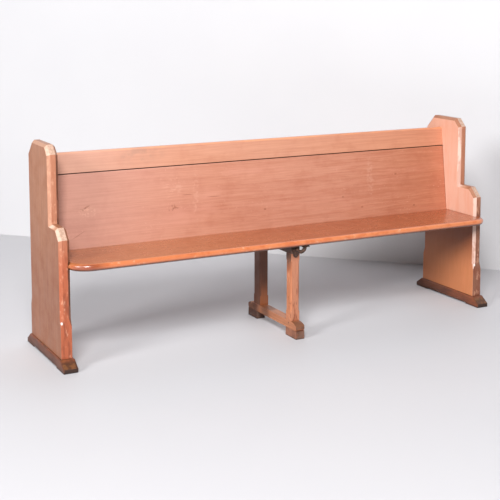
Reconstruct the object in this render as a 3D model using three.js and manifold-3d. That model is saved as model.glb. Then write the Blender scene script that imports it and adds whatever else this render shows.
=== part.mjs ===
// Church pew: two plank ends on sledge feet, a leaning back, a bull-nosed seat and a centre trestle.
// Millimetres. X runs along the pew, Y from front to back, Z up from the floor.
// While the pieces are made, Y = 0 is the front edge of the two ends.

import * as THREE from 'three';
import { ConvexGeometry } from 'three/addons/geometries/ConvexGeometry.js';
import { mergeVertices } from 'three/addons/utils/BufferGeometryUtils.js';
import Module from 'manifold-3d';

const wasm = await Module();
wasm.setup();

// ---------------------------------------------------------------- driving dimensions

const gap = 0.3;                    // clearance left wherever two pieces touch
const through = 5;                  // how far a cut runs past the face that it opens

const clearWidth = 2066;            // between the inner faces of the two ends
const totalHeight = 915;

const endThickness = 47;
const endDepth = 411;
const endChamfer = 12;
const upperSetback = 130;           // the upper part's front edge, behind the lower one
const shoulderHeight = 587;
const shoulderFacet = 45;
const topFrontFacet = 38;
const topBackFacet = 61;
const endStopHeight = 180;          // where the stopped chamfers end above the floor
const endStopRunout = 35;

const footHeight = 47;
const footLedge = 8.5;              // how far a foot stands out on each side of its end
const footFront = 52;               // how far a foot reaches past its end, in front and behind
const footRear = 47;
const footSlope = 43;
const footNoseHeight = 18;
const footRelief = 8;
const footPadLength = 95;
const footEdgeChamfer = 4;

const seatTop = 448;
const seatThickness = 32;
const seatNosing = 69;              // how far the seat comes out in front of the ends
const seatLeftCorner = 100;         // radius of the nosing's two corners, seen from above
const seatRightCorner = 66;
const seatLeftHorn = 16;            // how far the nosing would lap across each end, were it square
const seatRightHorn = 34;
const seatBackLine = 224;           // where the seat's top meets the back's face
const seatHousing = 10;             // how deep the seat is let into the ends
const seatHousingStart = 20;

const backLean = 7.4;               // degrees from upright
const panelThickness = 20;
const panelHousing = 8;
const panelArris = 3;
const railDrop = 52;                // from the ends' tops down to the rail's top
const railHeight = 91;
const railThickness = 42;
const railArris = 10;
const railOpening = 4;              // the open joint between rail and panel
const tongueThickness = 9;
const tongueLength = 9;
const railTenonLength = 24;
const railTenonThickness = 16;
const railTenonShoulder = 14;

const cleatThickness = 25;
const cleatHeight = 30;
const cleatStart = 97;
const cleatLength = 120;

const trestleWidth = 44;
const trestleToe = 84;              // how far the base comes out in front of the ends
const trestleLength = 459;
const baseBottom = 38;
const baseHeight = 34;
const toeRun = 46;
const toeDrop = 16;
const toeLowerRadius = 9;
const frontPadLength = 95;
const rearPadLength = 87;
const postInset = 46;               // from the toe to the front post
const frontPostDepth = 45;
const rearPostDepth = 63;
const postSpacing = 249;            // clear distance between the posts
const postChamfer = 6;
const postStopRise = 40;            // from the base up to a post's lower stops
const postStopDrop = 25;            // from the bearer down to its upper stops
const postStopRunout = 10;
const bearerHeight = 35;
const tenonThickness = 15;
const tenonLength = 20;
const tenonShoulder = 7;
const pegRadius = 4;

const endTenonLength = 26;
const endTenonWidth = 90;
const endTenonThickness = 20;
const endTenonInset = 55;

const stayPlateWidth = 26;
const stayPlateThickness = 4;
const stayPlateBelow = 16;          // how far the plate reaches down over the post
const stayArmRadius = 8.5;
const stayReach = 30;
const stayDrop = 22;
const stayPadThickness = 3;
const stayPadSize = 34;

const smallScrew = { shank: 2.2, head: 4.4, headDepth: 2.6 };
const woodScrew = { shank: 2.8, head: 5.6, headDepth: 3.4 };
const heavyScrew = { shank: 4, head: 8, headDepth: 4.8 };
const cleatScrewCount = 3;
const backScrewCount = 5;
const screwBite = { cleat: 20, back: 38, foot: 20, pad: 20, bearer: 17, stay: 18 };   // into the second piece

// ---------------------------------------------------------------- places worked out from them

const halfClear = clearWidth / 2;
const halfLength = halfClear + endThickness;
const seatBottom = seatTop - seatThickness;
const baseTop = baseBottom + baseHeight;
const bearerBottom = seatBottom - bearerHeight;
const trestleFront = -trestleToe;
const trestleRear = trestleFront + trestleLength;
const frontPost = [trestleFront + postInset, trestleFront + postInset + frontPostDepth];
const rearPost = [frontPost[1] + postSpacing, frontPost[1] + postSpacing + rearPostDepth];
const postStops = [baseTop + postStopRise, bearerBottom - postStopDrop];
const halfTrestle = trestleWidth / 2;
const lean = THREE.MathUtils.degToRad(backLean);
const railTop = totalHeight - railDrop;
const railFoot = (railTop - railHeight - seatTop) / Math.cos(lean);
const railHead = (railTop - seatTop) / Math.cos(lean);
const panelHead = railFoot - railOpening;
const panelFoot = (seatBottom - seatTop) / Math.cos(lean);
const tongueFront = (panelThickness - tongueThickness) / 2;

// ---------------------------------------------------------------- solids

function solid(geometry) {
  const bare = geometry.clone();
  bare.deleteAttribute('normal');
  bare.deleteAttribute('uv');
  const merged = mergeVertices(bare, 1e-4);
  return new wasm.Manifold(new wasm.Mesh({
    numProp: 3,
    vertProperties: new Float32Array(merged.attributes.position.array),
    triVerts: new Uint32Array(merged.index.array),
  }));
}

function geometryOf(shape) {
  const mesh = shape.getMesh();
  const geometry = new THREE.BufferGeometry();
  geometry.setAttribute('position', new THREE.BufferAttribute(new Float32Array(mesh.vertProperties), 3));
  geometry.setIndex(new THREE.BufferAttribute(new Uint32Array(mesh.triVerts), 1));
  geometry.computeVertexNormals();
  return geometry;
}

function block(xSpan, ySpan, zSpan) {
  const spans = [xSpan, ySpan, zSpan];
  const size = spans.map(([low, high]) => high - low);
  const middle = spans.map(([low, high]) => (low + high) / 2);
  return solid(new THREE.BoxGeometry(...size).translate(...middle));
}

// An outline of [y, z] points, run along X.
function plank(outline, [left, right]) {
  const shape = new THREE.Shape(outline.map(([y, z]) => new THREE.Vector2(y, z)));
  const geometry = new THREE.ExtrudeGeometry(shape, { depth: right - left, bevelEnabled: false });
  const turn = new THREE.Matrix4().makeBasis(
    new THREE.Vector3(0, 1, 0), new THREE.Vector3(0, 0, 1), new THREE.Vector3(1, 0, 0));
  return solid(geometry.applyMatrix4(turn).translate(left, 0, 0));
}

function hull(points) {
  return solid(new ConvexGeometry(points.map((point) => new THREE.Vector3(...point))));
}

// A profile of [radius, depth] points turned about an axis that starts at `at` and runs `along`.
function turned(profile, at, along, sides = 20) {
  const points = profile.map(([radius, depth]) => new THREE.Vector2(radius, depth));
  const geometry = new THREE.LatheGeometry(points, sides);
  const turn = new THREE.Quaternion().setFromUnitVectors(new THREE.Vector3(0, 1, 0), along);
  return solid(geometry.applyQuaternion(turn).translate(at.x, at.y, at.z));
}

// On the left (-1) or right (+1) side of the pew: a span given by distances from its middle.
function sideSpan(side, near, far) {
  return side > 0 ? [near, far] : [-far, -near];
}

// ---------------------------------------------------------------- outlines

// A convex outline with every edge moved in by the same distance.
function insetOutline(outline, distance) {
  const edges = outline.map(([y, z], i) => {
    const [nextY, nextZ] = outline[(i + 1) % outline.length];
    const length = Math.hypot(nextY - y, nextZ - z);
    const along = [(nextY - y) / length, (nextZ - z) / length];
    return { point: [y - along[1] * distance, z + along[0] * distance], along };
  });
  return edges.map((edge, i) => {
    const before = edges[(i + edges.length - 1) % edges.length];
    const cross = before.along[0] * edge.along[1] - before.along[1] * edge.along[0];
    const step = [edge.point[0] - before.point[0], edge.point[1] - before.point[1]];
    const run = (step[0] * edge.along[1] - step[1] * edge.along[0]) / cross;
    return [before.point[0] + before.along[0] * run, before.point[1] + before.along[1] * run];
  });
}

// A convex outline run along X, with a chamfer round both faces.
function chamferedPlank(outline, [left, right], chamfer) {
  const small = insetOutline(outline, chamfer);
  return hull([
    ...small.flatMap(([y, z]) => [[left, y, z], [right, y, z]]),
    ...outline.flatMap(([y, z]) => [[left + chamfer, y, z], [right - chamfer, y, z]]),
  ]);
}

function rectangle([left, right], [front, rear], z) {
  return [[left, front, z], [right, front, z], [right, rear, z], [left, rear, z]];
}

function octagon([left, right], [front, rear], chamfer, z) {
  return [
    ...rectangle([left + chamfer, right - chamfer], [front, rear], z),
    ...rectangle([left, right], [front + chamfer, rear - chamfer], z),
  ];
}

// An upright post whose four corners are chamfered between two stops.
function stopChamferedPost(xSpan, ySpan, [bottom, top], [stopLow, stopHigh], chamfer, runout) {
  const low = octagon(xSpan, ySpan, chamfer, stopLow + runout);
  const high = octagon(xSpan, ySpan, chamfer, stopHigh - runout);
  const foot = hull([...rectangle(xSpan, ySpan, bottom), ...rectangle(xSpan, ySpan, stopLow), ...low]);
  const head = hull([...high, ...rectangle(xSpan, ySpan, stopHigh), ...rectangle(xSpan, ySpan, top)]);
  return foot.add(hull([...low, ...high])).add(head);
}

// A point on the leaning back: `up` along its face from the seat's top, `behind` that face.
function onBack(up, behind) {
  return [
    seatBackLine + up * Math.sin(lean) + behind * Math.cos(lean),
    seatTop + up * Math.cos(lean) - behind * Math.sin(lean),
  ];
}

function backOutline([low, high], [front, rear]) {
  return [onBack(low, front), onBack(low, rear), onBack(high, rear), onBack(high, front)];
}

// Points of a quarter ellipse about `centre`, from angle `start` in quarter turns.
function quarterArc(centre, radii, start, steps = 6) {
  return Array.from({ length: steps + 1 }, (_, i) => {
    const angle = (start + i / steps) * Math.PI / 2;
    return [centre[0] + radii[0] * Math.cos(angle), centre[1] + radii[1] * Math.sin(angle)];
  });
}

// ---------------------------------------------------------------- the two ends and their feet

function endTenonSpans() {
  return [
    [endTenonInset, endTenonInset + endTenonWidth],
    [endDepth - endTenonInset - endTenonWidth, endDepth - endTenonInset],
  ];
}

function endTenons(side, clearance) {
  const middle = halfClear + endThickness / 2;
  const half = endTenonThickness / 2 + clearance;
  return endTenonSpans().map(([front, rear]) => block(
    sideSpan(side, middle - half, middle + half),
    [front - clearance, rear + clearance],
    [footHeight - endTenonLength - clearance, footHeight + through]));
}

function endBody(side) {
  const xSpan = sideSpan(side, halfClear, halfLength);
  const below = footHeight - 3 * endChamfer;
  const lower = [
    [0, below], [endDepth, below], [endDepth, shoulderHeight],
    [shoulderFacet, shoulderHeight], [0, shoulderHeight - shoulderFacet],
  ];
  const upper = [
    [upperSetback, below], [endDepth, below], [endDepth, totalHeight - topBackFacet],
    [endDepth - topBackFacet, totalHeight], [upperSetback + topFrontFacet, totalHeight],
    [upperSetback, totalHeight - topFrontFacet],
  ];
  const stops = hull([
    ...rectangle(xSpan, [0, endDepth], footHeight + gap),
    ...rectangle(xSpan, [0, endDepth], endStopHeight),
    ...octagon(xSpan, [0, endDepth], endChamfer, endStopHeight + endStopRunout),
  ]);
  const underside = block([-2 * halfLength, 2 * halfLength], [-endDepth, 2 * endDepth], [-endDepth, footHeight + gap]);
  return chamferedPlank(lower, xSpan, endChamfer)
    .add(chamferedPlank(upper, xSpan, endChamfer))
    .subtract(underside)
    .add(stops);
}

function end(side) {
  const seatCut = block(
    sideSpan(side, halfClear - through, halfClear + seatHousing),
    [seatHousingStart - gap, seatBackLine + panelThickness],
    [seatBottom - gap, seatTop + gap]);
  const panelCut = plank(
    backOutline([panelFoot - gap, railFoot], [-gap, panelThickness + gap]),
    sideSpan(side, halfClear - through, halfClear + panelHousing));
  const railCut = railTenon(side, gap);
  let body = endBody(side);
  for (const tenon of endTenons(side, 0)) body = body.add(tenon);
  return body.subtract(seatCut).subtract(panelCut).subtract(railCut);
}

function foot(side) {
  const front = -footFront;
  const rear = endDepth + footRear;
  const outline = [
    [front, -footHeight], [rear, -footHeight], [rear, footNoseHeight],
    [rear - footSlope, footHeight], [front + footSlope, footHeight], [front, footNoseHeight],
  ];
  const xSpan = sideSpan(side, halfClear - footLedge, halfLength + footLedge);
  const wide = [-2 * halfLength, 2 * halfLength];
  const underside = block(wide, [front - through, rear + through], [-2 * footHeight, 0]);
  const relief = block(wide, [front + footPadLength, rear - footPadLength], [-through, footRelief]);
  let body = chamferedPlank(outline, xSpan, footEdgeChamfer).subtract(underside).subtract(relief);
  for (const mortise of endTenons(side, gap)) body = body.subtract(mortise);
  return body;
}

// ---------------------------------------------------------------- the back

function railTenon(side, clearance) {
  const middle = railThickness / 2;
  const half = railTenonThickness / 2 + clearance;
  return plank(
    backOutline(
      [railFoot + railTenonShoulder - clearance, railHead - railTenonShoulder + clearance],
      [middle - half, middle + half]),
    sideSpan(side, halfClear - through, halfClear + railTenonLength + clearance));
}

function topRail() {
  const grooveSpan = [tongueFront - gap, tongueFront + tongueThickness + gap];
  const arris = quarterArc([railHead - railArris, railArris], [railArris, -railArris], 0)
    .map(([up, behind]) => onBack(up, behind));
  const outline = [
    onBack(railFoot, 0), onBack(railFoot, railThickness), onBack(railHead, railThickness), ...arris,
  ];
  const groove = plank(
    backOutline([railFoot - through, railFoot + tongueLength + 1], grooveSpan), [-halfLength, halfLength]);
  return plank(outline, [gap - halfClear, halfClear - gap])
    .add(railTenon(-1, 0))
    .add(railTenon(1, 0))
    .subtract(groove);
}

function backPanel() {
  const arris = quarterArc([panelHead - panelArris, panelArris], [panelArris, -panelArris], 0, 4)
    .map(([up, behind]) => onBack(up, behind));
  const outline = [
    onBack(panelFoot - panelThickness, 0), onBack(panelFoot - panelThickness, panelThickness),
    onBack(panelHead, panelThickness), ...arris,
  ];
  const half = halfClear + panelHousing - gap;
  const tongueTop = railFoot + tongueLength;
  const tongue = plank(
    backOutline([panelHead - 1, tongueTop], [tongueFront, tongueFront + tongueThickness]),
    [gap - halfClear, halfClear - gap]);
  const underside = block([-halfLength, halfLength], [0, endDepth], [0, seatBottom + gap]);
  return plank(outline, [-half, half]).add(tongue).subtract(underside);
}

// ---------------------------------------------------------------- the seat

function seatNose() {
  const radius = seatThickness / 2;
  const left = -(halfClear + seatLeftHorn);
  const right = halfClear + seatRightHorn;
  const rear = Math.max(seatLeftCorner, seatRightCorner);
  const corners = [
    { x: left + seatLeftCorner, radius: seatLeftCorner, start: 2 },
    { x: right - seatRightCorner, radius: seatRightCorner, start: 3 },
  ];
  const layers = 8;
  const points = [];
  for (let i = 0; i <= layers; i += 1) {
    const angle = (i / layers - 0.5) * Math.PI;
    const inset = radius * (1 - Math.cos(angle));
    const z = seatBottom + radius + radius * Math.sin(angle);
    points.push([left + inset, rear, z], [right - inset, rear, z]);
    for (const corner of corners) {
      const reach = corner.radius - inset;
      const arc = quarterArc([corner.x, corner.radius - seatNosing], [reach, reach], corner.start, 10);
      points.push(...arc.map(([x, y]) => [x, y, z]));
    }
  }
  const behind = block([-2 * halfLength, 2 * halfLength], [-gap, endDepth], [0, totalHeight]);
  return hull(points).subtract(behind);
}

function seatBoard() {
  const between = [gap - halfClear, halfClear - gap];
  const housed = [gap - halfClear - seatHousing, halfClear + seatHousing - gap];
  const height = [seatBottom, seatTop];
  const front = -2 * gap;
  const rear = seatBackLine + panelThickness;
  const behindFace = plank(
    backOutline([panelFoot - seatThickness, seatThickness], [-gap, 4 * panelThickness]),
    [-2 * halfLength, 2 * halfLength]);
  return seatNose()
    .add(block(between, [front, seatHousingStart + 1], height))
    .add(block(housed, [seatHousingStart, rear], height))
    .subtract(behindFace);
}

function cleat(side) {
  return block(
    sideSpan(side, halfClear - gap - cleatThickness, halfClear - gap),
    [cleatStart, cleatStart + cleatLength],
    [seatBottom - gap - cleatHeight, seatBottom - gap]);
}

// ---------------------------------------------------------------- the centre trestle

function baseRail() {
  const front = trestleFront;
  const rear = trestleRear;
  const shoulder = baseTop - toeDrop;
  const radius = toeLowerRadius;
  const low = baseBottom + gap;
  const outline = [
    ...quarterArc([front + radius, low + radius], [radius, radius], 2),
    ...quarterArc([rear - radius, low + radius], [radius, radius], 3),
    ...quarterArc([rear - toeRun, shoulder], [toeRun, toeDrop], 0, 8),
    ...quarterArc([front + toeRun, shoulder], [toeRun, toeDrop], 1, 8),
  ];
  return plank(outline, [-halfTrestle, halfTrestle]);
}

function post(ySpan) {
  return stopChamferedPost(
    [-halfTrestle, halfTrestle], ySpan,
    [baseTop + gap, bearerBottom - gap],
    postStops, postChamfer, postStopRunout);
}

// The tenons at a post's foot and head, or with a clearance the mortises that take them.
function postTenons([front, rear], clearance) {
  const half = tenonThickness / 2 + clearance;
  const ySpan = [front + tenonShoulder - clearance, rear - tenonShoulder + clearance];
  const lower = block([-half, half], ySpan, [baseTop - tenonLength - clearance, baseTop + through]);
  const upper = block([-half, half], ySpan, [bearerBottom - through, bearerBottom + tenonLength + clearance]);
  return { lower, upper };
}

function bearer() {
  return block([-halfTrestle, halfTrestle], [frontPost[0], rearPost[1]], [bearerBottom, seatBottom - gap]);
}

function pad(ySpan) {
  return block([-halfTrestle, halfTrestle], ySpan, [0, baseBottom]);
}

// ---------------------------------------------------------------- the iron stay

// Where the stay's arm leaves its plate, bows out and ends under the seat.
function stayRoute() {
  const plateEdge = stayPlateWidth / 2;
  const y = frontPost[0] - gap - stayArmRadius;
  const top = seatBottom - gap - stayPadThickness;
  const low = top - stayDrop;
  return [
    [0, y, low + 14],
    [plateEdge * 0.7, y - 2, low + 4],
    [plateEdge + stayReach * 0.3, y - 5, low],
    [plateEdge + stayReach * 0.68, y - 5, low + stayDrop * 0.24],
    [plateEdge + stayReach * 0.92, y - 3, low + stayDrop * 0.6],
    [plateEdge + stayReach, y - 1, top + 1],
  ].map((point) => new THREE.Vector3(...point));
}

function stayPlate() {
  const half = stayPlateWidth / 2;
  const foot = bearerBottom - stayPlateBelow;
  const head = seatBottom - 2;
  const shape = new THREE.Shape();
  shape.moveTo(half, head);
  shape.lineTo(-half, head);
  shape.lineTo(-half, foot + half);
  shape.absarc(0, foot + half, half, Math.PI, 2 * Math.PI, false);
  shape.closePath();
  const settings = { depth: stayPlateThickness, bevelEnabled: false, curveSegments: 10 };
  const geometry = new THREE.ExtrudeGeometry(shape, settings);
  return solid(geometry.rotateX(Math.PI / 2).translate(0, frontPost[0] - gap, 0));
}

function ironStay() {
  const route = new THREE.CatmullRomCurve3(stayRoute());
  const section = new THREE.Shape().absarc(0, 0, stayArmRadius, 0, 2 * Math.PI, false);
  const settings = { steps: 22, curveSegments: 5, extrudePath: route };
  const arm = solid(new THREE.ExtrudeGeometry(section, settings));
  const tip = stayRoute().at(-1);
  const half = stayPadSize / 2;
  const top = seatBottom - gap;
  const foot = block([tip.x - half, tip.x + half], [tip.y - half, tip.y + half], [top - stayPadThickness, top]);
  const above = block([0, 2 * stayReach + half], [tip.y - half, tip.y + half], [top, top + 2 * stayArmRadius]);
  const behind = block([-halfTrestle, halfTrestle + gap], [frontPost[0] - gap, frontPost[1]], [0, top]);
  return stayPlate().add(arm).add(foot).subtract(above).subtract(behind);
}

// ---------------------------------------------------------------- screws and pegs

// A countersunk wood screw driven from `at`; with a clearance, the hole that takes it.
function screwShape({ at, along, length, size }, clearance = 0) {
  const shank = size.shank + clearance;
  const head = size.head + clearance;
  const rim = 0.6;
  const profile = [
    [0, clearance ? -through : 0.2],
    [head, clearance ? -through : 0.2],
    [head, rim],
    [shank, size.headDepth],
    [shank, length - 2 * size.shank],
    [clearance ? shank : 0.6, length + clearance],
    [0, length + clearance],
  ];
  return turned(profile, at, along, 12);
}

function slotted(screw) {
  const turn = new THREE.Quaternion().setFromUnitVectors(new THREE.Vector3(0, 1, 0), screw.along);
  const width = screw.size.head * 0.22;
  const slot = new THREE.BoxGeometry(3 * screw.size.head, 2.4, width);
  return screwShape(screw).subtract(
    solid(slot.applyQuaternion(turn).translate(screw.at.x, screw.at.y, screw.at.z)));
}

function pegShape({ y, z }, clearance = 0) {
  const reach = halfTrestle - (clearance ? -through : gap);
  const radius = pegRadius + clearance;
  const profile = [[0, 0], [radius, 0], [radius, 2 * reach], [0, 2 * reach]];
  return turned(profile, new THREE.Vector3(-reach, y, z), new THREE.Vector3(1, 0, 0), 12);
}

function spread(count, low, high) {
  return Array.from({ length: count }, (_, i) => low + (high - low) * i / (count - 1));
}

function cleatScrews(side, name) {
  const z = seatBottom - gap - cleatHeight / 2;
  const margin = 22;
  return spread(cleatScrewCount, cleatStart + margin, cleatStart + cleatLength - margin).map((y, i) => ({
    name: `${name}_cleat_screw_${i + 1}`,
    at: new THREE.Vector3(side * (halfClear - gap - cleatThickness), y, z),
    along: new THREE.Vector3(side, 0, 0),
    length: cleatThickness + screwBite.cleat,
    size: woodScrew,
    pieces: [`${name}_seat_cleat`, `${name}_end`],
  }));
}

function footScrews(side, name) {
  return endTenonSpans().map(([front, rear], i) => ({
    name: `${name}_foot_screw_${i + 1}`,
    at: new THREE.Vector3(side * (halfClear + endThickness / 2), (front + rear) / 2, footRelief),
    along: new THREE.Vector3(0, 0, 1),
    length: footHeight - footRelief + screwBite.foot,
    size: heavyScrew,
    pieces: [`${name}_foot`, `${name}_end`],
  }));
}

function backScrews() {
  const margin = 75;
  const [y, z] = onBack(-seatThickness * 0.55, panelThickness);
  return spread(backScrewCount, margin - halfClear, halfClear - margin).map((x, i) => ({
    name: `back_screw_${i + 1}`,
    at: new THREE.Vector3(x, y, z),
    along: new THREE.Vector3(0, -Math.cos(lean), Math.sin(lean)),
    length: panelThickness + screwBite.back,
    size: woodScrew,
    pieces: ['back_panel', 'seat_board'],
  }));
}

function padScrews(name, y) {
  return [-halfTrestle / 2, halfTrestle / 2].map((x, i) => ({
    name: `${name}_screw_${i + 1}`,
    at: new THREE.Vector3(x, y, 1.5),
    along: new THREE.Vector3(0, 0, 1),
    length: baseBottom + screwBite.pad,
    size: woodScrew,
    pieces: [name, 'trestle_base'],
  }));
}

function bearerScrews() {
  const room = 30;
  const backScrewReach = panelThickness + screwBite.back;
  return spread(2, frontPost[1] + 2 * room, seatBackLine - backScrewReach - room).map((y, i) => ({
    name: `bearer_screw_${i + 1}`,
    at: new THREE.Vector3(0, y, bearerBottom),
    along: new THREE.Vector3(0, 0, 1),
    length: bearerHeight + screwBite.bearer,
    size: woodScrew,
    pieces: ['seat_bearer', 'seat_board'],
  }));
}

function stayScrews() {
  const plateFront = frontPost[0] - gap - stayPlateThickness;
  const tip = stayRoute().at(-1);
  return [
    {
      name: 'stay_screw_1',
      at: new THREE.Vector3(-stayPlateWidth * 0.22, plateFront, seatBottom - 11),
      along: new THREE.Vector3(0, 1, 0),
      pieces: ['iron_stay', 'seat_bearer'],
    },
    {
      name: 'stay_screw_2',
      at: new THREE.Vector3(-stayPlateWidth * 0.22, plateFront, bearerBottom + 11),
      along: new THREE.Vector3(0, 1, 0),
      pieces: ['iron_stay', 'seat_bearer', 'front_post'],
    },
    {
      name: 'stay_screw_3',
      at: new THREE.Vector3(tip.x + stayPadSize / 2 - 5, tip.y + 1, seatBottom - gap - stayPadThickness),
      along: new THREE.Vector3(0, 0, 1),
      pieces: ['iron_stay', 'seat_board'],
    },
  ].map((screw) => ({ ...screw, length: stayPlateThickness + screwBite.stay, size: smallScrew }));
}

function trestlePegs() {
  const low = baseTop - tenonLength / 2;
  const high = bearerBottom + tenonLength / 2;
  return [['front', frontPost], ['rear', rearPost]].flatMap(([name, [front, rear]]) => [
    { name: `${name}_lower_peg`, y: (front + rear) / 2, z: low, pieces: [`${name}_post`, 'trestle_base'] },
    { name: `${name}_upper_peg`, y: (front + rear) / 2, z: high, pieces: [`${name}_post`, 'seat_bearer'] },
  ]);
}

// ---------------------------------------------------------------- the object

const finishes = {
  panelPine: new THREE.MeshStandardMaterial({ color: 0xd99678, roughness: 0.55, metalness: 0 }),
  endPine: new THREE.MeshStandardMaterial({ color: 0xc48c70, roughness: 0.55, metalness: 0 }),
  seatPine: new THREE.MeshStandardMaterial({ color: 0xcc7048, roughness: 0.35, metalness: 0 }),
  railPine: new THREE.MeshStandardMaterial({ color: 0xe3a284, roughness: 0.5, metalness: 0 }),
  darkPine: new THREE.MeshStandardMaterial({ color: 0x6b4534, roughness: 0.6, metalness: 0 }),
  trestlePine: new THREE.MeshStandardMaterial({ color: 0xc8845c, roughness: 0.55, metalness: 0 }),
  iron: new THREE.MeshStandardMaterial({ color: 0x3a3430, roughness: 0.6, metalness: 0.9 }),
};

const pieces = {};

function addPiece(name, shape, finish) {
  pieces[name] = { shape, finish };
}

function cut(names, hole) {
  for (const name of names) pieces[name].shape = pieces[name].shape.subtract(hole);
}

for (const [side, name] of [[-1, 'left'], [1, 'right']]) {
  addPiece(`${name}_end`, end(side), finishes.endPine);
  addPiece(`${name}_foot`, foot(side), finishes.darkPine);
  addPiece(`${name}_seat_cleat`, cleat(side), finishes.darkPine);
}
addPiece('top_rail', topRail(), finishes.railPine);
addPiece('back_panel', backPanel(), finishes.panelPine);
addPiece('seat_board', seatBoard(), finishes.seatPine);
addPiece('trestle_base', baseRail(), finishes.trestlePine);
addPiece('seat_bearer', bearer(), finishes.darkPine);
for (const [name, ySpan] of [['front_post', frontPost], ['rear_post', rearPost]]) {
  const tenons = postTenons(ySpan, 0);
  const mortises = postTenons(ySpan, gap);
  addPiece(name, post(ySpan).add(tenons.lower).add(tenons.upper), finishes.trestlePine);
  cut(['trestle_base'], mortises.lower);
  cut(['seat_bearer'], mortises.upper);
}
const frontPad = [trestleFront, trestleFront + frontPadLength];
const rearPad = [trestleRear - rearPadLength, trestleRear];
addPiece('front_pad', pad(frontPad), finishes.darkPine);
addPiece('rear_pad', pad(rearPad), finishes.darkPine);
addPiece('iron_stay', ironStay(), finishes.iron);

const screws = [
  ...cleatScrews(-1, 'left'), ...cleatScrews(1, 'right'),
  ...footScrews(-1, 'left'), ...footScrews(1, 'right'),
  ...backScrews(),
  ...padScrews('front_pad', (trestleFront + frontPost[0]) / 2),
  ...padScrews('rear_pad', (trestleRear + rearPost[1]) / 2),
  ...bearerScrews(),
  ...stayScrews(),
];
for (const screw of screws) {
  cut(screw.pieces, screwShape(screw, gap));
  addPiece(screw.name, slotted(screw), finishes.iron);
}
for (const peg of trestlePegs()) {
  cut(peg.pieces, pegShape(peg, gap));
  addPiece(peg.name, pegShape(peg), finishes.darkPine);
}

const pew = new THREE.Group();
for (const [name, { shape, finish }] of Object.entries(pieces)) {
  const mesh = new THREE.Mesh(geometryOf(shape), finish);
  mesh.name = name;
  pew.add(mesh);
}

// The origin is on the floor, under the middle of the whole pew.
const frontmost = Math.min(-footFront, -seatNosing, trestleFront);
const rearmost = Math.max(endDepth + footRear, trestleRear);
pew.position.set(0, -(frontmost + rearmost) / 2, 0);

export default pew;
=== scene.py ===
"""The looks of a church pew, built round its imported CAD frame. Metres, +X along the pew, +Y back, +Z up."""
import math

import bmesh
import bpy
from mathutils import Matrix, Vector


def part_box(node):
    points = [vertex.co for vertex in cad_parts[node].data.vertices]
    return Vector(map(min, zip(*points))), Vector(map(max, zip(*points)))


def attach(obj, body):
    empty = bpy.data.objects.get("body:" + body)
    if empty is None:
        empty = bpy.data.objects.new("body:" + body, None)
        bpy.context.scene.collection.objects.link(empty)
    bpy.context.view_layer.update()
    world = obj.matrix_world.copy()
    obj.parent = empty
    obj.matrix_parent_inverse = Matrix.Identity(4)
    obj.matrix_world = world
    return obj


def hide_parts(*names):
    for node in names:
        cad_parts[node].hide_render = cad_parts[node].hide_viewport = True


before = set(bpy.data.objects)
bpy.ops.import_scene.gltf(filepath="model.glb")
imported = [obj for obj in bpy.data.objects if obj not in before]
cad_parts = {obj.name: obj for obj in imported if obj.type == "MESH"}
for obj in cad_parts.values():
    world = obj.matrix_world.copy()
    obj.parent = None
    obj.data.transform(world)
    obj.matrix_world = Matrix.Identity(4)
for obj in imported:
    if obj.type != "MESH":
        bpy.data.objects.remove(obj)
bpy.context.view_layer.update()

# ---------------------------------------------------------------- the camera

CAMERA_PLACE = Vector((-2.4765, -4.5295, 1.5443))
CAMERA_HEADING = math.radians(27.57)    # from +Y towards +X
CAMERA_DIP = math.radians(7.165)
LENS_MM = 81.7
SENSOR_MM = 36.0
CAMERA_SHIFT = -0.232


def add_camera():
    data = bpy.data.cameras.new("camera")
    data.lens = LENS_MM
    data.sensor_width = SENSOR_MM
    data.shift_y = CAMERA_SHIFT
    data.clip_end = 50
    camera = bpy.data.objects.new("camera", data)
    bpy.context.scene.collection.objects.link(camera)
    level = math.cos(CAMERA_DIP)
    ahead = Vector((
        math.sin(CAMERA_HEADING) * level,
        math.cos(CAMERA_HEADING) * level,
        -math.sin(CAMERA_DIP),
    ))
    camera.location = CAMERA_PLACE
    camera.rotation_euler = ahead.to_track_quat("-Z", "Y").to_euler()
    bpy.context.scene.camera = camera


# ---------------------------------------------------------------- a small kit for node materials

def srgb(red, green, blue):
    """A screen colour, 0 to 255 and not near black, as the linear colour that a shader takes."""
    return tuple(((channel / 255 + 0.055) / 1.055) ** 2.4 for channel in (red, green, blue)) + (1.0,)


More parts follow.
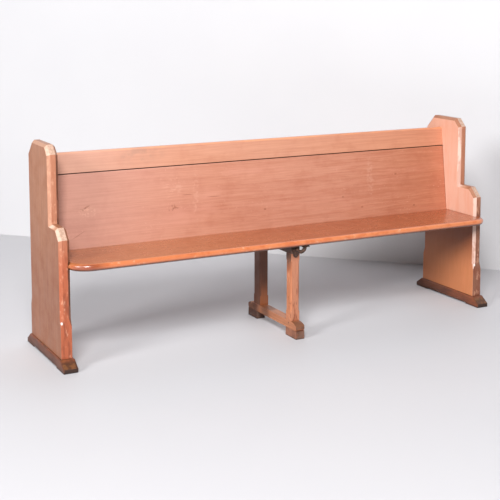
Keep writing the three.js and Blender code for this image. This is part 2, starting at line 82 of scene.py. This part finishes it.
class Graph:
    """Builds one material's node tree. Every call that adds something returns its output socket."""

    def __init__(self, name):
        self.material = bpy.data.materials.new(name)
        self.material.use_nodes = True
        self.tree = self.material.node_tree
        self.tree.nodes.clear()
        self.place = self.add("ShaderNodeTexCoord").outputs["Object"]
        self.normal = self.add("ShaderNodeNewGeometry").outputs["Normal"]

    def add(self, kind, **settings):
        node = self.tree.nodes.new(kind)
        for key, value in settings.items():
            setattr(node, key, value)
        return node

    def put(self, socket, value):
        """Links a socket to another one, or sets it to a constant."""
        if isinstance(value, bpy.types.NodeSocket):
            self.tree.links.new(value, socket)
        else:
            socket.default_value = value

    def math(self, operation, first, second=0.0, clamp=False):
        node = self.add("ShaderNodeMath", operation=operation, use_clamp=clamp)
        self.put(node.inputs[0], first)
        self.put(node.inputs[1], second)
        return node.outputs[0]

    def vector(self, operation, first, second=(0, 0, 0), output="Vector"):
        node = self.add("ShaderNodeVectorMath", operation=operation)
        self.put(node.inputs[0], first)
        self.put(node.inputs[1], second)
        return node.outputs[output]

    def smooth(self, value, low, high, to_low=0.0, to_high=1.0):
        """Eases from `to_low` where the value is `low` to `to_high` where it is `high`."""
        node = self.add("ShaderNodeMapRange", interpolation_type="SMOOTHSTEP")
        self.put(node.inputs["Value"], value)
        node.inputs["From Min"].default_value = low
        node.inputs["From Max"].default_value = high
        node.inputs["To Min"].default_value = to_low
        node.inputs["To Max"].default_value = to_high
        return node.outputs["Result"]

    def noise(self, vector, scale=1.0, detail=2.0, roughness=0.5):
        node = self.add("ShaderNodeTexNoise")
        self.put(node.inputs["Vector"], vector)
        node.inputs["Scale"].default_value = scale
        node.inputs["Detail"].default_value = detail
        node.inputs["Roughness"].default_value = roughness
        return node.outputs["Fac"]

    def mix(self, amount, first, second, blend="MIX"):
        node = self.add("ShaderNodeMix", data_type="RGBA", blend_type=blend)
        self.put(node.inputs["Factor"], amount)
        self.put(node.inputs[6], first)
        self.put(node.inputs[7], second)
        return node.outputs[2]

    def ramp(self, value, stops):
        """A grey ramp through (position, tone) stops."""
        node = self.add("ShaderNodeValToRGB")
        elements = node.color_ramp.elements
        while len(elements) < len(stops):
            elements.new(0.5)
        for element, (position, tone) in zip(elements, stops):
            element.position = position
            element.color = (tone, tone, tone, 1.0)
        self.put(node.inputs["Fac"], value)
        return node.outputs["Color"]

    def along(self, axis):
        """The place along X, Y or Z, as one number."""
        node = self.add("ShaderNodeSeparateXYZ")
        self.put(node.inputs[0], self.place)
        return node.outputs["XYZ".index(axis)]

    def stretched(self, grain, along, across):
        """The place, scaled by `along` on the grain's axis and by `across` on the other two."""
        scale = tuple(along if axis == grain else across for axis in "XYZ")
        return self.vector("MULTIPLY", self.place, scale)

    def finish(self, colour, roughness, height=None, bump=0.25, depth=0.0005, **constants):
        """Ends the tree in one surface shader and returns the material."""
        shader = self.add("ShaderNodeBsdfPrincipled")
        self.put(shader.inputs["Base Color"], colour)
        self.put(shader.inputs["Roughness"], roughness)
        for key, value in constants.items():
            shader.inputs[key.replace("_", " ")].default_value = value
        if height is not None:
            node = self.add("ShaderNodeBump")
            node.inputs["Strength"].default_value = bump
            node.inputs["Distance"].default_value = depth
            self.put(node.inputs["Height"], height)
            self.put(shader.inputs["Normal"], node.outputs["Normal"])
        output = self.add("ShaderNodeOutputMaterial")
        self.put(output.inputs["Surface"], shader.outputs["BSDF"])
        return self.material


# ---------------------------------------------------------------- masks: each is called with a Graph

def facing(direction, low=0.75, high=0.95):
    """Where the surface faces a direction."""
    def mask(graph):
        return graph.smooth(graph.vector("DOT_PRODUCT", graph.normal, direction, output="Value"), low, high)
    return mask


def chamfer(direction):
    """Where a chamfer faces a direction, and none of the faces beside it."""
    return facing(direction, 0.9, 0.97)


def facet(direction):
    """Where a cut corner faces a direction, and none of the chamfers beside it."""
    return facing(direction, 0.93, 0.98)


def span(axis, start, end):
    """0 at `start` and 1 at `end`, along one axis."""
    def mask(graph):
        return graph.smooth(graph.along(axis), start, end)
    return mask


def patches(scale, low, high, stretch=(1, 1, 1)):
    """Ragged patches, about 1 / scale across."""
    def mask(graph):
        place = graph.vector("MULTIPLY", graph.place, stretch)
        return graph.smooth(graph.noise(place, scale, detail=4.0, roughness=0.62), low, high)
    return mask


def both(*masks):
    """Where every one of the masks is high."""
    def mask(graph):
        product = masks[0](graph)
        for other in masks[1:]:
            product = graph.math("MULTIPLY", product, other(graph))
        return product
    return mask


def spot(at, direction, length, width, plane="Y"):
    """A soft spot on a board that faces `plane`. `length` and `width` are measured from its middle."""
    normal = Vector([float(axis == plane) for axis in "XYZ"])
    lengthwise = Vector(direction).normalized()
    across = normal.cross(lengthwise)

    def mask(graph):
        offset = graph.vector("SUBTRACT", graph.place, tuple(at))
        u = graph.vector("DOT_PRODUCT", offset, tuple(lengthwise / length), output="Value")
        v = graph.vector("DOT_PRODUCT", offset, tuple(across / width), output="Value")
        squares = graph.math("ADD", graph.math("MULTIPLY", u, u), graph.math("MULTIPLY", v, v))
        return graph.smooth(squares, 1.0, 0.0)
    return mask


def toned(mask, tone, strength=1.0, blend="MIX"):
    """An overlay that lays `tone` wherever the mask is high."""
    def overlay(graph, colour):
        return graph.mix(graph.math("MULTIPLY", mask(graph), strength), colour, tone, blend)
    return overlay


# ---------------------------------------------------------------- wood and iron

# Noise cells per metre: along the grain, then across it.
RING_DRIFT = (0.9, 5.0)
RING_RIPPLE = (3.0, 26.0)
FIBRE = (7.0, 420.0)
STREAK = (1.6, 85.0)
SLOW_TINT = (0.9, 6.0)
BLOTCH = 13.0

RING_SPACING = 0.007
RING_WANDER = 0.05
RING_TAPER = 0.035      # how fast the rings close up along the board
OLD_VARNISH = srgb(225, 225, 225)       # takes a quarter of the light from every board
JOINT_SHADOW = srgb(52, 30, 20)


def rings(graph, grain, pith):
    """Growth rings about a pith that runs along the grain: 0 in early wood, 1 in late wood."""
    drift = graph.noise(graph.stretched(grain, *RING_DRIFT))
    ripple = graph.noise(graph.stretched(grain, *RING_RIPPLE))
    from_pith = graph.vector("SUBTRACT", graph.place, pith)
    flat = graph.vector("MULTIPLY", from_pith, tuple(RING_TAPER if axis == grain else 1.0 for axis in "XYZ"))
    distance = graph.vector("LENGTH", flat, output="Value")
    moved = graph.math("ADD", distance, graph.math("MULTIPLY", drift, RING_WANDER))
    moved = graph.math("ADD", moved, graph.math("MULTIPLY", ripple, RING_SPACING * 1.6))
    turn = graph.math("FRACT", graph.math("DIVIDE", moved, RING_SPACING))
    return graph.ramp(turn, [(0.0, 0.2), (0.4, 0.0), (0.85, 1.0), (0.97, 0.35)])


def wood(name, grain, pith, early, late, overlays, sheen, ring, fleck, mottle, **constants):
    """A varnished board: rings, fibres, slow changes of tint, then whatever the overlays add.

    `ring`, `fleck` and `mottle` say how strongly the rings, the fibres and the tints show.
    """
    graph = Graph(name)
    growth = rings(graph, grain, pith)
    fibre = graph.noise(graph.stretched(grain, *FIBRE), detail=3.0, roughness=0.65)
    streak = graph.noise(graph.stretched(grain, *STREAK), detail=4.0, roughness=0.65)
    slow = graph.noise(graph.stretched(grain, *SLOW_TINT), detail=3.0, roughness=0.55)
    blotch = graph.noise(graph.place, BLOTCH, 4.0, 0.6)
    colour = graph.mix(graph.math("MULTIPLY", growth, ring), early, late)
    colour = graph.mix(graph.smooth(streak, 0.4, 0.75, 0.0, fleck), colour, late)
    colour = graph.mix(graph.smooth(fibre, 0.42, 0.72, 0.0, fleck), colour, late)
    colour = graph.mix(graph.smooth(slow, 0.35, 0.65, 0.0, mottle), colour, srgb(232, 214, 214), "MULTIPLY")
    colour = graph.mix(graph.smooth(blotch, 0.45, 0.75, 0.0, mottle), colour, srgb(222, 190, 172), "MULTIPLY")
    for overlay in overlays:
        colour = overlay(graph, colour)
    colour = graph.mix(1.0, colour, OLD_VARNISH, "MULTIPLY")
    wear = graph.math("MULTIPLY", graph.math("SUBTRACT", blotch, 0.5), 0.35)
    fine = graph.math("MULTIPLY", graph.math("SUBTRACT", fibre, 0.5), 0.2)
    roughness = graph.math("ADD", graph.math("ADD", wear, fine), sheen, clamp=True)
    height = graph.math("ADD", fibre, graph.math("MULTIPLY", growth, -0.4))
    return graph.finish(colour, roughness, height, **constants)


def iron():
    """Dark iron with grime and a few rusty specks."""
    graph = Graph("iron")
    grime = graph.noise(graph.place, 90.0, 4.0, 0.7)
    rust = graph.noise(graph.place, 260.0, 3.0, 0.6)
    colour = graph.mix(graph.smooth(grime, 0.4, 0.65), srgb(52, 40, 36), srgb(100, 70, 56))
    colour = graph.mix(graph.smooth(rust, 0.55, 0.75, 0.0, 0.7), colour, srgb(150, 116, 96))
    roughness = graph.smooth(grime, 0.3, 0.8, 0.42, 0.7)
    return graph.finish(colour, roughness, grime, bump=0.4, depth=0.0008, Metallic=0.35)


# ---------------------------------------------------------------- pieces

CRISP_ARRIS = 0.001
WORN_ARRIS = 0.0015
SOFT_ARRIS = 0.002
SHORTEST_EASED = 0.012      # a shorter edge belongs to a curve or a screw hole
SAME_PLACE = 0.00002
FLAT = math.radians(0.6)
SHARP = math.radians(24)
SMOOTHED_BELOW = math.radians(35)


def cover(piece, material):
    piece.data.materials.clear()
    piece.data.materials.append(material)


def eased(node, radius):
    """A copy of a CAD node whose long sharp arrises are eased by `radius`."""
    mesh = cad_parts[node].data.copy()
    build = bmesh.new()
    build.from_mesh(mesh)
    bmesh.ops.remove_doubles(build, verts=build.verts, dist=SAME_PLACE)
    bmesh.ops.dissolve_limit(
        build, angle_limit=FLAT, verts=build.verts, edges=build.edges, use_dissolve_boundaries=False)
    long_arrises = [
        edge for edge in build.edges
        if len(edge.link_faces) == 2 and edge.is_convex
        and edge.calc_length() > SHORTEST_EASED and edge.calc_face_angle() > SHARP
    ]
    bmesh.ops.bevel(build, geom=long_arrises, offset=radius, segments=2, profile=0.5,
                    affect="EDGES", clamp_overlap=True)
    bmesh.ops.triangulate(build, faces=[face for face in build.faces if len(face.verts) > 4])
    build.to_mesh(mesh)
    build.free()
    for polygon in mesh.polygons:
        polygon.use_smooth = True
    mesh.set_sharp_from_angle(angle=SMOOTHED_BELOW)
    piece = bpy.data.objects.new(node + "_wood", mesh)
    bpy.context.scene.collection.objects.link(piece)
    weighted = piece.modifiers.new("weighted", "WEIGHTED_NORMAL")
    weighted.keep_sharp = True
    return piece


def dress(node, arris, material):
    """Puts an eased and covered board in a CAD node's place."""
    piece = eased(node, arris)
    cover(piece, material)
    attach(piece, "root")
    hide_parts(node)


# ---------------------------------------------------------------- the pew's boards

LEFT = (-1, 0, 0)
FRONT = (0, -1, 0)
UP = (0, 0, 1)
DOWN = (0, 0, -1)
DIAGONAL = math.sqrt(0.5)

SEAT_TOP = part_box("seat_board")[1].z
END_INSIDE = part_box("right_end")[0].x       # how far the ends' inner and outer faces are from the middle
END_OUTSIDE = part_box("right_end")[1].x
RAIL_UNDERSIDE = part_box("top_rail")[0].z
TRESTLE_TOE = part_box("trestle_base")[0].y


def middle(node):
    low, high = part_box(node)
    return (low + high) / 2


def pith_near(node, offset):
    """The place that a board's rings run round."""
    return tuple(middle(node) + Vector(offset))


def end_faces(side):
    """The broad faces: browner outside; inside above the seat, paler and pinker painted light on the right
    end and darker painted shade on the left; the seat's painted shade under it.
    """
    outside = facing((side, 0, 0))
    inside = facing((-side, 0, 0))
    # Painted light on the right end's inner face, painted shade on the left end's.
    inner_painted_light_and_shade = srgb(255, 202, 178) if side > 0 else srgb(150, 84, 52)
    under_seat = span("Z", SEAT_TOP - 0.008, SEAT_TOP - 0.038)
    shade = both(
        span("Z", SEAT_TOP - 0.288, SEAT_TOP - 0.068),
        span("Z", SEAT_TOP - 0.008, SEAT_TOP - 0.028),
    )
    return [
        toned(span("Z", 0.75, 0.15), srgb(222, 206, 192), 0.75, "MULTIPLY"),
        toned(both(outside, span("Z", 0.3, 0.06), patches(7, 0.4, 0.6, (1, 3, 0.5))),
              srgb(176, 106, 66), 0.5),
        toned(both(inside, span("Z", SEAT_TOP - 0.048, SEAT_TOP + 0.012)), inner_painted_light_and_shade, 0.85),
        toned(both(inside, patches(14, 0.4, 0.65, (3, 3, 0.4))), srgb(238, 152, 116), 0.3),
        toned(both(inside, span("Z", 0.7, 0.9)), srgb(244, 160, 124), 0.35),
        toned(both(inside, under_seat), srgb(226, 140, 88), 0.75),
        toned(both(inside, shade), srgb(138, 98, 74), 0.8, "MULTIPLY"),
    ]


def end_front(side):
    """The front edge and its two chamfers, rubbed bare in places and darker below the elbow, with painted
    light on the right end's inner chamfer and painted shade on the left end's.
    """
    front = facing(FRONT)
    outer = chamfer((side * DIAGONAL, -DIAGONAL, 0))
    inner = chamfer((-side * DIAGONAL, -DIAGONAL, 0))
    low_tone = srgb(140, 92, 70) if side > 0 else srgb(196, 98, 60)
    # Painted light on the right end's inner chamfer, painted shade on the left end's.
    inner_painted_light_and_shade = srgb(255, 220, 204) if side > 0 else srgb(112, 62, 36)
    low = span("Z", SEAT_TOP + 0.172, SEAT_TOP - 0.048)
    return [
        toned(front, srgb(204, 130, 98), 0.75),
        toned(both(front, patches(9, 0.45, 0.7, (6, 1, 0.6))), srgb(232, 168, 138), 0.5),
        toned(both(front, low), low_tone, 0.8),
        toned(both(front, low, patches(34, 0.46, 0.6, (2, 1, 0.5))), srgb(138, 66, 40), 0.6),
        toned(both(front, patches(60, 0.56, 0.66, (1, 1, 0.4))), srgb(240, 180, 148), 0.5),
        toned(both(outer, span("Z", 0.3, 0.7)), srgb(206, 148, 120), 0.8),
        toned(both(outer, low), low_tone, 0.75),
        toned(both(outer, patches(55, 0.5, 0.66, (1, 1, 0.6))), srgb(240, 180, 146), 0.45),
        toned(inner, inner_painted_light_and_shade, 0.8),
        toned(both(inner, patches(26, 0.5, 0.6, (1, 1, 0.4))), srgb(190, 122, 92), 0.55),
    ]


def end_corners(side):
    """The cut corners, where hands have worn the wood pale, and the outer chamfer of the top."""
    corner = facet((0, -DIAGONAL, DIAGONAL))
    corner_chamfer = facet((side * DIAGONAL, -0.5, 0.5))
    return [
        toned(corner, srgb(234, 198, 176), 0.8),
        toned(both(corner, patches(90, 0.45, 0.6)), srgb(176, 136, 114), 0.5),
        toned(corner_chamfer, srgb(240, 208, 186), 0.85),
        toned(both(corner_chamfer, patches(60, 0.45, 0.6)), srgb(206, 160, 134), 0.5),
        toned(chamfer((side * DIAGONAL, 0, DIAGONAL)), srgb(216, 164, 134), 0.7),
    ]


def painted_stop_highlight(side):
    """A small white painted highlight on a chamfer's stop low on an end's front: at the right end's inner
    chamfer, the left end's outer one.
    """
    place = (END_INSIDE + 0.0085, 0, 0.203) if side > 0 else (-END_OUTSIDE + 0.005, 0, 0.197)
    # Painted highlight on the stop of the chamfer.
    return toned(both(spot(place, UP, 0.008, 0.0055), span("Y", -0.15, -0.18)), srgb(255, 246, 238))


def end_wood(side, name):
    overlays = [*end_faces(side), *end_front(side), *end_corners(side), painted_stop_highlight(side)]
    return wood(name + "_pine", "Z", pith_near(name, (side * 0.11, 0.05, -0.2)), srgb(195, 135, 101),
                srgb(160, 100, 68), overlays, sheen=0.45, ring=0.25, fleck=0.5, mottle=0.35)


def panel_marks():
    """The back panel's scratches, scuffs and nail marks, placed from the photo."""
    dark = srgb(150, 86, 58)
    pale = srgb(246, 190, 166)
    level = (1, 0, -0.02)
    scratches = [       # place, direction, length, width, strength
        ((-0.875, 0.06, 0.621), (0.02, 0, 0.009), 0.02, 0.005, 0.6),
        ((-0.894, 0.058, 0.611), (0.012, 0, -0.006), 0.012, 0.004, 0.6),
        ((-0.397, 0.062, 0.637), level, 0.034, 0.003, 0.5),
        ((-0.265, 0.059, 0.618), level, 0.044, 0.003, 0.5),
        ((-0.919, 0.044, 0.505), (0.062, 0, 0.032), 0.042, 0.0022, 0.45),
    ]
    scuffs = [          # place, direction, length, width, raggedness, tone, strength
        ((-0.87, 0.058, 0.6), level, 0.05, 0.03, patches(90, 0.5, 0.6), pale, 0.7),
        ((-0.47, 0.054, 0.583), level, 0.035, 0.02, patches(90, 0.5, 0.6), dark, 0.6),
        ((-0.46, 0.067, 0.677), level, 0.07, 0.045, patches(80, 0.48, 0.6, (0.5, 1, 1.6)), pale, 0.35),
        ((-0.355, 0.061, 0.63), (0.05, 0.1, 1), 0.16, 0.02, patches(90, 0.45, 0.65), pale, 0.35),
        ((0.584, 0.063, 0.65), (0, 0.1, 1), 0.13, 0.022, patches(70, 0.42, 0.65), pale, 0.35),
    ]
    nail_marks = [      # place, strength
        ((-0.007, 0.049, 0.538), 0.6),
        ((0.835, 0.042, 0.485), 0.6),
        ((0.735, 0.063, 0.647), 0.5),
        ((0.528, 0.044, 0.502), 0.5),
        ((0.422, 0.051, 0.559), 0.5),
    ]
    marks = []
    for at, way, length, width, strength in scratches:
        marks.append(toned(spot(at, way, length, width), dark, strength))
    for at, way, length, width, ragged, tone, strength in scuffs:
        marks.append(toned(both(spot(at, way, length, width), ragged), tone, strength))
    marks.append(toned(both(patches(120, 0.62, 0.68), patches(6, 0.4, 0.6)), pale, 0.45))
    for at, strength in nail_marks:
        marks.append(toned(spot(at, level, 0.008, 0.006), dark, strength))
    return marks


def panel_wood():
    """The back panel: pinker at the left, browner and streakier at the right, with painted shade in the gap
    under the rail and a dark line where it meets the right end.
    """
    overlays = [
        toned(patches(5, 0.5, 0.7, (0.6, 1, 1.6)), srgb(240, 170, 148), 0.35),
        toned(span("X", -0.2, -0.95), srgb(232, 186, 176), 0.35),
        toned(span("X", 0.2, 1.0), srgb(244, 222, 200), 0.8, "MULTIPLY"),
        toned(both(patches(30, 0.45, 0.62, (0.25, 1, 2.5)), span("X", -1.1, 1.1)), srgb(196, 116, 86), 0.4),
        *panel_marks(),
        # Painted shade in the gap under the rail.
        toned(span("Z", RAIL_UNDERSIDE - 0.0004, RAIL_UNDERSIDE + 0.0018), srgb(52, 26, 12), 0.9),
        toned(span("X", END_INSIDE - 0.004, END_INSIDE + 0.002), srgb(110, 62, 40), 0.8),
    ]
    return wood("panel_pine", "X", pith_near("back_panel", (0.3, 0.16, -0.05)), srgb(229, 162, 135),
                srgb(194, 120, 90), overlays, sheen=0.42, ring=0.18, fleck=0.38, mottle=0.3)


def rail_wood():
    """The top rail: a patchy orange painted highlight along its upper front arris, and painted shade on its
    underside.
    """
    painted_highlight_arris = facing((0, -0.75, 0.66), 0.8, 0.97)
    stain = both(spot((-0.63, 0.087, 0.83), (1, 0, 0), 0.16, 0.05), patches(16, 0.4, 0.65))
    overlays = [
        # Painted highlight along the upper front arris.
        toned(both(painted_highlight_arris, patches(9, 0.3, 0.6, (0.5, 1, 1))), srgb(255, 176, 130), 0.7),
        toned(stain, srgb(186, 140, 118), 0.6),
        toned(span("X", -0.35, -0.95), srgb(236, 190, 172), 0.45),
        toned(span("X", 0.0, 0.9), srgb(255, 243, 232), 1.0, "MULTIPLY"),
        # Painted shade on the underside.
        toned(facing(DOWN, 0.6, 0.9), JOINT_SHADOW, 0.9),
    ]
    return wood("rail_pine", "X", pith_near("top_rail", (-0.2, 0.12, -0.09)), srgb(235, 171, 142),
                srgb(198, 128, 98), overlays, sheen=0.42, ring=0.18, fleck=0.32, mottle=0.25)


def seat_wood():
    """The seat: a glossy rubbed top, a brighter nose that is partly wear and partly painted light, and
    painted shade on the underside and along the nose's lower curve.
    """
    nose = both(facing(FRONT, 0.3, 0.75), facing(DOWN, 0.75, 0.35))
    overlays = [
        toned(both(facing(UP), span("X", -0.7, 0.2)), srgb(238, 196, 178), 0.7, "MULTIPLY"),
        # The nose's brighter tone: partly wear, partly painted light on the front-facing nose.
        toned(nose, srgb(252, 152, 100), 0.85),
        toned(both(nose, span("X", 0.1, -0.6)), srgb(226, 128, 80), 0.6),
        # Painted shade along the nose's lower curve.
        toned(both(facing(DOWN, 0.0, 0.7), span("Y", 0.1, 0.0)), srgb(150, 72, 38), 0.7),
        toned(both(nose, patches(45, 0.6, 0.68)), srgb(255, 208, 172), 0.45),
        toned(both(nose, patches(22, 0.48, 0.66)), srgb(214, 106, 58), 0.5),
        toned(both(nose, span("X", -0.87, -0.97)), srgb(150, 70, 42), 0.85),
        # Painted shade on the underside.
        toned(facing(DOWN, 0.2, 0.8), srgb(96, 52, 32), 0.9),
    ]
    return wood("seat_pine", "X", pith_near("seat_board", (0.2, 0.02, -0.13)), srgb(203, 127, 80),
                srgb(156, 82, 44), overlays, sheen=0.3, ring=0.2, fleck=0.45, mottle=0.3,
                Coat_Weight=0.65, Coat_Roughness=0.2)


def dark_wood(name, grain, centre, overlays=()):
    pith = tuple(centre + Vector((0.05, 0.02, -0.08)))
    return wood(name, grain, pith, srgb(119, 71, 47), srgb(72, 40, 26), overlays,
                sheen=0.5, ring=0.4, fleck=0.5, mottle=0.5)


def foot_wood(name):
    """A foot: scuffed toe, a reddish painted highlight along the upper edge, dark sole. The right foot's left
    face has painted light, redder in front.
    """
    toe = facing((0, -0.5, 0.86), 0.75, 0.95)
    left_face = facing(LEFT)
    overlays = [
        toned(toe, srgb(88, 54, 34), 0.8),
        toned(both(toe, patches(50, 0.48, 0.62)), srgb(150, 96, 54), 0.6),
        # Painted highlight along the upper edge.
        toned(both(span("Z", 0.034, 0.045), patches(26, 0.35, 0.55)), srgb(160, 84, 52), 0.45),
        toned(both(left_face, span("Z", 0.012, 0.03)), srgb(132, 72, 44), 0.5),
        # Painted light on the right foot's left face, stronger in front.
        toned(both(left_face, span("Y", 0.1, -0.15), span("X", 0.5, 0.6)), srgb(160, 82, 42), 0.5),
        toned(both(left_face, patches(16, 0.45, 0.62, (1, 0.4, 1.5))), srgb(84, 44, 34), 0.6),
        toned(facing(FRONT), srgb(52, 34, 24), 0.85),
        toned(span("Z", 0.01, 0.002), srgb(46, 30, 24), 0.8),
    ]
    return dark_wood(name + "_pine", "Y", middle(name), overlays)


def trestle_wood(name, grain, early, late, overlays):
    return wood(name + "_pine", grain, pith_near(name, (0.07, 0.05, -0.05)), early, late, overlays,
                sheen=0.45, ring=0.3, fleck=0.4, mottle=0.5)


def front_post_wood():
    """The front post: painted shade on its left face near the top, darker on its front under the iron stay,
    kicked and stained near its foot.
    """
    left_face = facing(LEFT, 0.5, 0.9)
    overlays = [
        toned(facing(FRONT), srgb(212, 142, 110), 0.75),
        # Painted shade on the left face near the top.
        toned(both(left_face, span("Z", 0.28, 0.38)), srgb(72, 44, 28), 0.9),
        toned(both(facing(FRONT), span("Z", 0.34, 0.39)), srgb(120, 78, 56), 0.6),
        toned(both(patches(30, 0.45, 0.6, (2, 1, 0.5)), span("Z", 0.3, 0.12)), srgb(188, 106, 70), 0.6),
        toned(both(patches(60, 0.53, 0.62, (2, 1, 0.5)), span("Z", 0.36, 0.14)), srgb(116, 62, 40), 0.6),
        toned(both(patches(34, 0.52, 0.62, (2, 1, 0.4)), left_face), srgb(252, 176, 136), 0.5),
    ]
    return trestle_wood("front_post", "Z", srgb(222, 142, 98), srgb(160, 92, 58), overlays)


def rear_post_wood():
    overlays = [toned(both(facing(FRONT), span("Z", 0.2, 0.1)), srgb(190, 112, 68), 0.6)]
    return trestle_wood("rear_post", "Z", srgb(140, 84, 54), srgb(96, 56, 38), overlays)


def base_wood():
    """The trestle's low rail: dark at the heel and the toe, with a stain between the posts."""
    toe = both(facing((0, -0.7, 0.7), 0.3, 0.7), span("Y", TRESTLE_TOE + 0.05, TRESTLE_TOE + 0.03))
    overlays = [
        toned(both(facing(LEFT), span("Y", 0.06, 0.13)), srgb(84, 52, 40), 0.85),
        toned(both(facing(LEFT), patches(18, 0.45, 0.6, (1, 0.5, 1))), srgb(160, 102, 72), 0.6),
        toned(spot((0, 0.02, 0.072), (0, 1, 0), 0.06, 0.05, "Z"), srgb(90, 56, 38), 0.7),
        toned(toe, srgb(122, 82, 60), 0.8),
        toned(both(facing(FRONT, 0.3, 0.7), patches(60, 0.5, 0.62)), srgb(96, 66, 52), 0.5),
    ]
    return trestle_wood("trestle_base", "Y", srgb(214, 140, 96), srgb(146, 90, 60), overlays)


def block_wood(name, tone):
    """A pad under the trestle, or the bearer over it: scuffed in front and dark near the floor."""
    overlays = [
        toned(patches(16, 0.35, 0.6), tone, 0.7),
        toned(both(facing(FRONT, 0.4, 0.8), patches(40, 0.4, 0.6)), srgb(120, 98, 86), 0.6),
        toned(span("Z", 0.008, 0.0), srgb(52, 36, 30), 0.8),
    ]
    return dark_wood(name + "_pine", "Y", middle(name), overlays)


def dress_boards():
    for side, name in ((-1, "left"), (1, "right")):
        end, foot, cleat = name + "_end", name + "_foot", name + "_seat_cleat"
        dress(end, WORN_ARRIS, end_wood(side, end))
        dress(foot, SOFT_ARRIS, foot_wood(foot))
        dress(cleat, SOFT_ARRIS, dark_wood(cleat + "_pine", "Y", middle(cleat)))
    dress("back_panel", CRISP_ARRIS, panel_wood())
    dress("top_rail", WORN_ARRIS, rail_wood())
    dress("seat_board", CRISP_ARRIS, seat_wood())
    dress("trestle_base", WORN_ARRIS, base_wood())
    dress("front_post", WORN_ARRIS, front_post_wood())
    dress("rear_post", WORN_ARRIS, rear_post_wood())
    # The bearer's dark tone is painted shade under the seat.
    for block, tone in (("seat_bearer", srgb(70, 48, 38)), ("front_pad", srgb(182, 118, 88)),
                        ("rear_pad", srgb(84, 56, 46))):
        dress(block, WORN_ARRIS, block_wood(block, tone))


def cover_small_nodes():
    """The screws, the pegs and the iron stay keep their CAD shapes."""
    metal = iron()
    peg = dark_wood("peg_pine", "X", Vector((0, 0, 0)))
    for name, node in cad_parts.items():
        if "screw" in name or name == "iron_stay":
            cover(node, metal)
        elif "peg" in name:
            cover(node, peg)


# ---------------------------------------------------------------- the studio

WALL_REACH = 1.94       # where the wall meets the +X and +Y axes, on the floor
ROOM_REACH = 12.0
WALL_TOP = 6.0
SOFTBOX = 2.8
ROOM_GLOW = 0.01


def plain(name, colour, roughness):
    """Matt paint with a very slight, slow unevenness."""
    graph = Graph(name)
    slow = graph.noise(graph.place, 1.3)
    tone = graph.mix(graph.smooth(slow, 0.3, 0.7, 0.0, 0.12), colour, srgb(189, 189, 195))
    return graph.finish(tone, roughness)


def sheet(name, corners, material):
    mesh = bpy.data.meshes.new(name)
    mesh.from_pydata(corners, [], [tuple(range(len(corners)))])
    piece = bpy.data.objects.new(name, mesh)
    bpy.context.scene.collection.objects.link(piece)
    mesh.materials.append(material)


def add_studio():
    """A pale floor, and a wall that runs from the far left to the near right, behind the pew."""
    left = (-ROOM_REACH, WALL_REACH + ROOM_REACH)
    right = (WALL_REACH + ROOM_REACH, -ROOM_REACH)
    sheet("floor", [(-ROOM_REACH, -ROOM_REACH, 0), (*right, 0), (*left, 0)],
          plain("floor_paint", srgb(200, 199, 202), 0.6))
    sheet("wall", [(*left, 0), (*right, 0), (*right, WALL_TOP), (*left, WALL_TOP)],
          plain("wall_paint", srgb(208, 207, 209), 0.8))


def add_softbox(name, place, watts):
    """A square light that looks at the middle of the pew."""
    data = bpy.data.lights.new(name, "AREA")
    data.shape = "SQUARE"
    data.size = SOFTBOX
    data.energy = watts
    light = bpy.data.objects.new(name, data)
    bpy.context.scene.collection.objects.link(light)
    light.location = place
    light.rotation_euler = (Vector((0, 0, 0.4)) - light.location).to_track_quat("-Z", "Y").to_euler()


def add_world():
    world = bpy.data.worlds.new("studio")
    bpy.context.scene.world = world
    world.use_nodes = True
    background = world.node_tree.nodes["Background"]
    background.inputs["Color"].default_value = (1.0, 1.0, 1.0, 1.0)
    background.inputs["Strength"].default_value = ROOM_GLOW


add_camera()
dress_boards()
cover_small_nodes()
add_studio()
add_world()
add_softbox("left", (-9.2, -3.2, 4.8), 695)
add_softbox("front_left", (-3.6, -6.0, 5.6), 870)
bpy.context.scene.view_settings.view_transform = "Standard"
